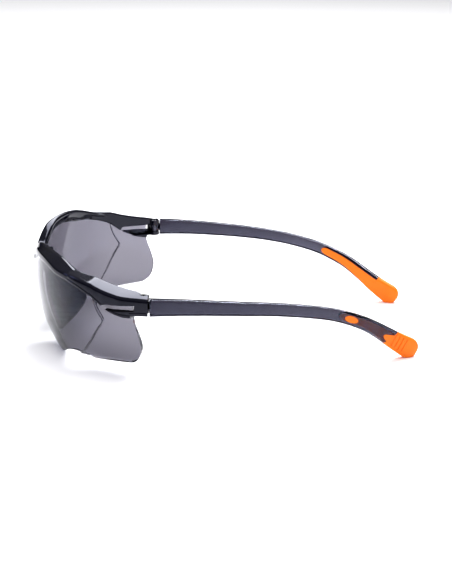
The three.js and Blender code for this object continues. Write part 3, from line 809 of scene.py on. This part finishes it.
# %% [markdown]
# Smoke polycarbonate is clear plastic with a grey dye through it, so its colour comes from how far
# light travels inside. Full transmission with an absorbing volume gives that: thick parts go dark by
# themselves and edges show a dark line. Fine noise in roughness and bump keeps it from looking perfect.
# The IOR is set below that of polycarbonate, and reflections are tinted blue, so that the white
# surroundings do not wash the dark plastic out.
# %% Helpers for materials
def material(name):
    made = bpy.data.materials.new(name)
    made.use_nodes = True
    nodes, links = made.node_tree.nodes, made.node_tree.links
    shader = nodes["Principled BSDF"]
    place = nodes.new("ShaderNodeTexCoord").outputs["Object"]

    def node(kind, **settings):
        new = nodes.new(kind)
        for key, value in settings.items():
            if key in new.inputs:
                new.inputs[key].default_value = value
            else:
                setattr(new, key, value)
        return new

    def noise(scale, detail=3):
        new = node("ShaderNodeTexNoise", Scale=scale, Detail=detail)
        links.new(place, new.inputs["Vector"])
        return new.outputs["Fac"]

    def spread(source, low, high, start=0.3, stop=0.7):
        ranged = node("ShaderNodeMapRange")
        for key, value in (("From Min", start), ("From Max", stop), ("To Min", low), ("To Max", high)):
            ranged.inputs[key].default_value = value
        links.new(source, ranged.inputs["Value"])
        return ranged.outputs["Result"]

    def bump(source, distance, strength=1.0, under=None):
        new = node("ShaderNodeBump", Strength=strength, Distance=distance)
        links.new(source, new.inputs["Height"])
        if under:
            links.new(under, new.inputs["Normal"])
        links.new(new.outputs["Normal"], shader.inputs["Normal"])
        return new.outputs["Normal"]

    def two_tone(source, first, second):
        ramp = node("ShaderNodeValToRGB")
        ramp.color_ramp.elements[0].color = (*first, 1)
        ramp.color_ramp.elements[1].color = (*second, 1)
        ramp.color_ramp.elements[0].position = 0.3
        ramp.color_ramp.elements[1].position = 0.7
        links.new(source, ramp.inputs["Fac"])
        links.new(ramp.outputs["Color"], shader.inputs["Base Color"])

    return made, shader, links, nodes, noise, spread, bump, two_tone


def smoke(name, density, colour, roughness, ior):
    made, shader, links, nodes, noise, spread, bump, _ = material(name)
    shader.inputs["Base Color"].default_value = (1, 1, 1, 1)
    shader.inputs["Transmission Weight"].default_value = 1
    shader.inputs["IOR"].default_value = ior
    shader.inputs["Specular Tint"].default_value = (0.66, 0.7, 1, 1)
    links.new(spread(noise(400), roughness, roughness + 0.012), shader.inputs["Roughness"])
    bump(noise(140, 2), 0.00002, 0.25)
    dye = nodes.new("ShaderNodeVolumeAbsorption")
    dye.inputs["Color"].default_value = (*colour, 1)
    dye.inputs["Density"].default_value = density
    links.new(dye.outputs["Volume"], nodes["Material Output"].inputs["Volume"])
    return made


def finish_with(made, *pieces):
    for piece in pieces:
        piece.data.materials.clear()
        piece.data.materials.append(made)


lens_smoke = smoke("lens_smoke", 960, (0.02, 0, 0.08), 0.0, 1.3)
temple_smoke = smoke("temple_smoke", 1000, (0.02, 0, 0.1), 0.02, 1.4)
finish_with(lens_smoke, lens)
finish_with(temple_smoke, temple_left, temple_right)
# Painted shade: near-black faces along the fold stand in for the dark line that light turned aside by the
# fold gives.
fold_painted_shade, shader, links, nodes, noise, spread, bump, two_tone = material("fold_painted_shade")
two_tone(noise(400), (0.003, 0.003, 0.006), (0.008, 0.008, 0.014))
links.new(spread(noise(900), 0.25, 0.4), shader.inputs["Roughness"])
bump(noise(140, 2), 0.00002, 0.25)
lens.data.materials.append(fold_painted_shade)
for index in fold_faces:
    lens.data.polygons[index].material_index = 1
print("smoke finishes made")

# %% [markdown]
# The brow frame is the same plastic with so much dye that it is nearly black, and it is polished.
# The tips and pads are soft rubber: matt, with a fine grain and a faint unevenness of colour.
# %% Frame, rubber and steel
frame_black, shader, links, nodes, noise, spread, bump, two_tone = material("frame_plastic")
two_tone(noise(60), (0.001, 0.001, 0.003), (0.002, 0.002, 0.006))
links.new(spread(noise(700), 0.05, 0.11), shader.inputs["Roughness"])
shader.inputs["IOR"].default_value = 1.33
shader.inputs["Specular Tint"].default_value = (0.8, 0.82, 1, 1)
bump(noise(120, 2), 0.00003, 0.2)
finish_with(frame_black, brow)

tip_orange, shader, links, nodes, noise, spread, bump, two_tone = material("tip_rubber")
two_tone(noise(90), (0.95, 0.165, 0.002), (1.0, 0.19, 0.004))
links.new(spread(noise(1500), 0.42, 0.6), shader.inputs["Roughness"])
shader.inputs["IOR"].default_value = 1.3
bump(noise(5000, 4), 0.00002, 0.5)
finish_with(tip_orange, tip_left, tip_right)

pad_dark, shader, links, nodes, noise, spread, bump, two_tone = material("pad_rubber")
two_tone(noise(200), (0.012, 0.018, 0.032), (0.03, 0.042, 0.066))
links.new(spread(noise(1800), 0.45, 0.7), shader.inputs["Roughness"])
bump(noise(900, 3), 0.00002, 0.15)
finish_with(pad_dark, pad_left, pad_right)

saddle_dark, shader, links, nodes, noise, spread, bump, two_tone = material("saddle_plastic")
two_tone(noise(150), (0.003, 0.008, 0.024), (0.006, 0.014, 0.04))
links.new(spread(noise(1200), 0.16, 0.28), shader.inputs["Roughness"])
bump(noise(400, 2), 0.00001, 0.1)
finish_with(saddle_dark, saddle)

screw_steel, shader, links, nodes, noise, spread, bump, two_tone = material("screw_steel")
two_tone(noise(2600), (0.42, 0.42, 0.44), (0.62, 0.62, 0.64))
shader.inputs["Metallic"].default_value = 1
links.new(spread(noise(3500), 0.2, 0.38), shader.inputs["Roughness"])
bump(noise(7000, 3), 0.00002, 0.4)
for side in ("left", "right"):
    screw = frame["nodes"][f"hinge_screw_{side}"]
    finish_with(screw_steel, screw)
print("materials:", [m.name for m in bpy.data.materials])

# %% [markdown]
# A pale floor and soft light from above give the nearly shadowless look of a product table. The sky is
# dim near the horizon, so that upright glossy faces stay dark. A wide lamp overhead lightens the
# shadows, a key lamp high on the wearer's right makes the faces that look up shine, and a weak cool
# lamp in front of the lens draws the bright edge round its curve.
# %% Floor and light
bm = bmesh.new()
bmesh.ops.create_circle(bm, cap_ends=True, segments=64, radius=6)
floor = finished(bm, "floor")
floor_paper, shader, links, nodes, noise, spread, bump, two_tone = material("floor_paper")
two_tone(noise(6), (0.9, 0.9, 0.905), (0.91, 0.91, 0.915))
shader.inputs["Roughness"].default_value = 1
shader.inputs["Specular IOR Level"].default_value = 0
finish_with(floor_paper, floor)

world = bpy.data.worlds.new("studio")
world.use_nodes = True
bpy.context.scene.world = world
nodes, links = world.node_tree.nodes, world.node_tree.links
direction = nodes.new("ShaderNodeTexCoord").outputs["Generated"]
split = nodes.new("ShaderNodeSeparateXYZ")
links.new(direction, split.inputs["Vector"])
ramp = nodes.new("ShaderNodeValToRGB")
ramp.color_ramp.elements[0].position, ramp.color_ramp.elements[0].color = 0.05, (0.06, 0.06, 0.08, 1)
ramp.color_ramp.elements[1].position, ramp.color_ramp.elements[1].color = 0.7, (0.97, 0.97, 1.0, 1)
links.new(split.outputs["Z"], ramp.inputs["Fac"])
links.new(ramp.outputs["Color"], nodes["Background"].inputs["Color"])
nodes["Background"].inputs["Strength"].default_value = 0.45


def lamp(name, place, aim, size, watts, colour):
    """A flat lamp of the given width and depth that looks from its place to its aim."""
    data = bpy.data.lights.new(name, "AREA")
    data.shape, data.energy, data.color = "RECTANGLE", watts, colour
    data.size, data.size_y = size
    made = bpy.data.objects.new(name, data)
    made.location = place
    made.rotation_euler = (Vector(aim) - Vector(place)).to_track_quat("-Z", "Y").to_euler()
    bpy.context.scene.collection.objects.link(made)
    print(name, "has", watts, "W over", size, "m")
    return made


fill = lamp("fill", (0, 0, 1.2), (0, 0, 0), (1.6, 1.6), 24, (1, 0.99, 0.96))
fill.visible_glossy = False  # it lightens the shadows without greying the dark polished faces
lamp("key", (-0.55, 0.25, 0.72), (0, 0, 0), (0.7, 0.6), 16, (0.93, 0.94, 1))
lamp("front_fill", (0.02, -0.45, 0.3), (0, -0.05, 0.03), (0.12, 0.3), 0.3, (0.5, 0.55, 1))
bpy.context.scene.view_settings.view_transform = "Standard"
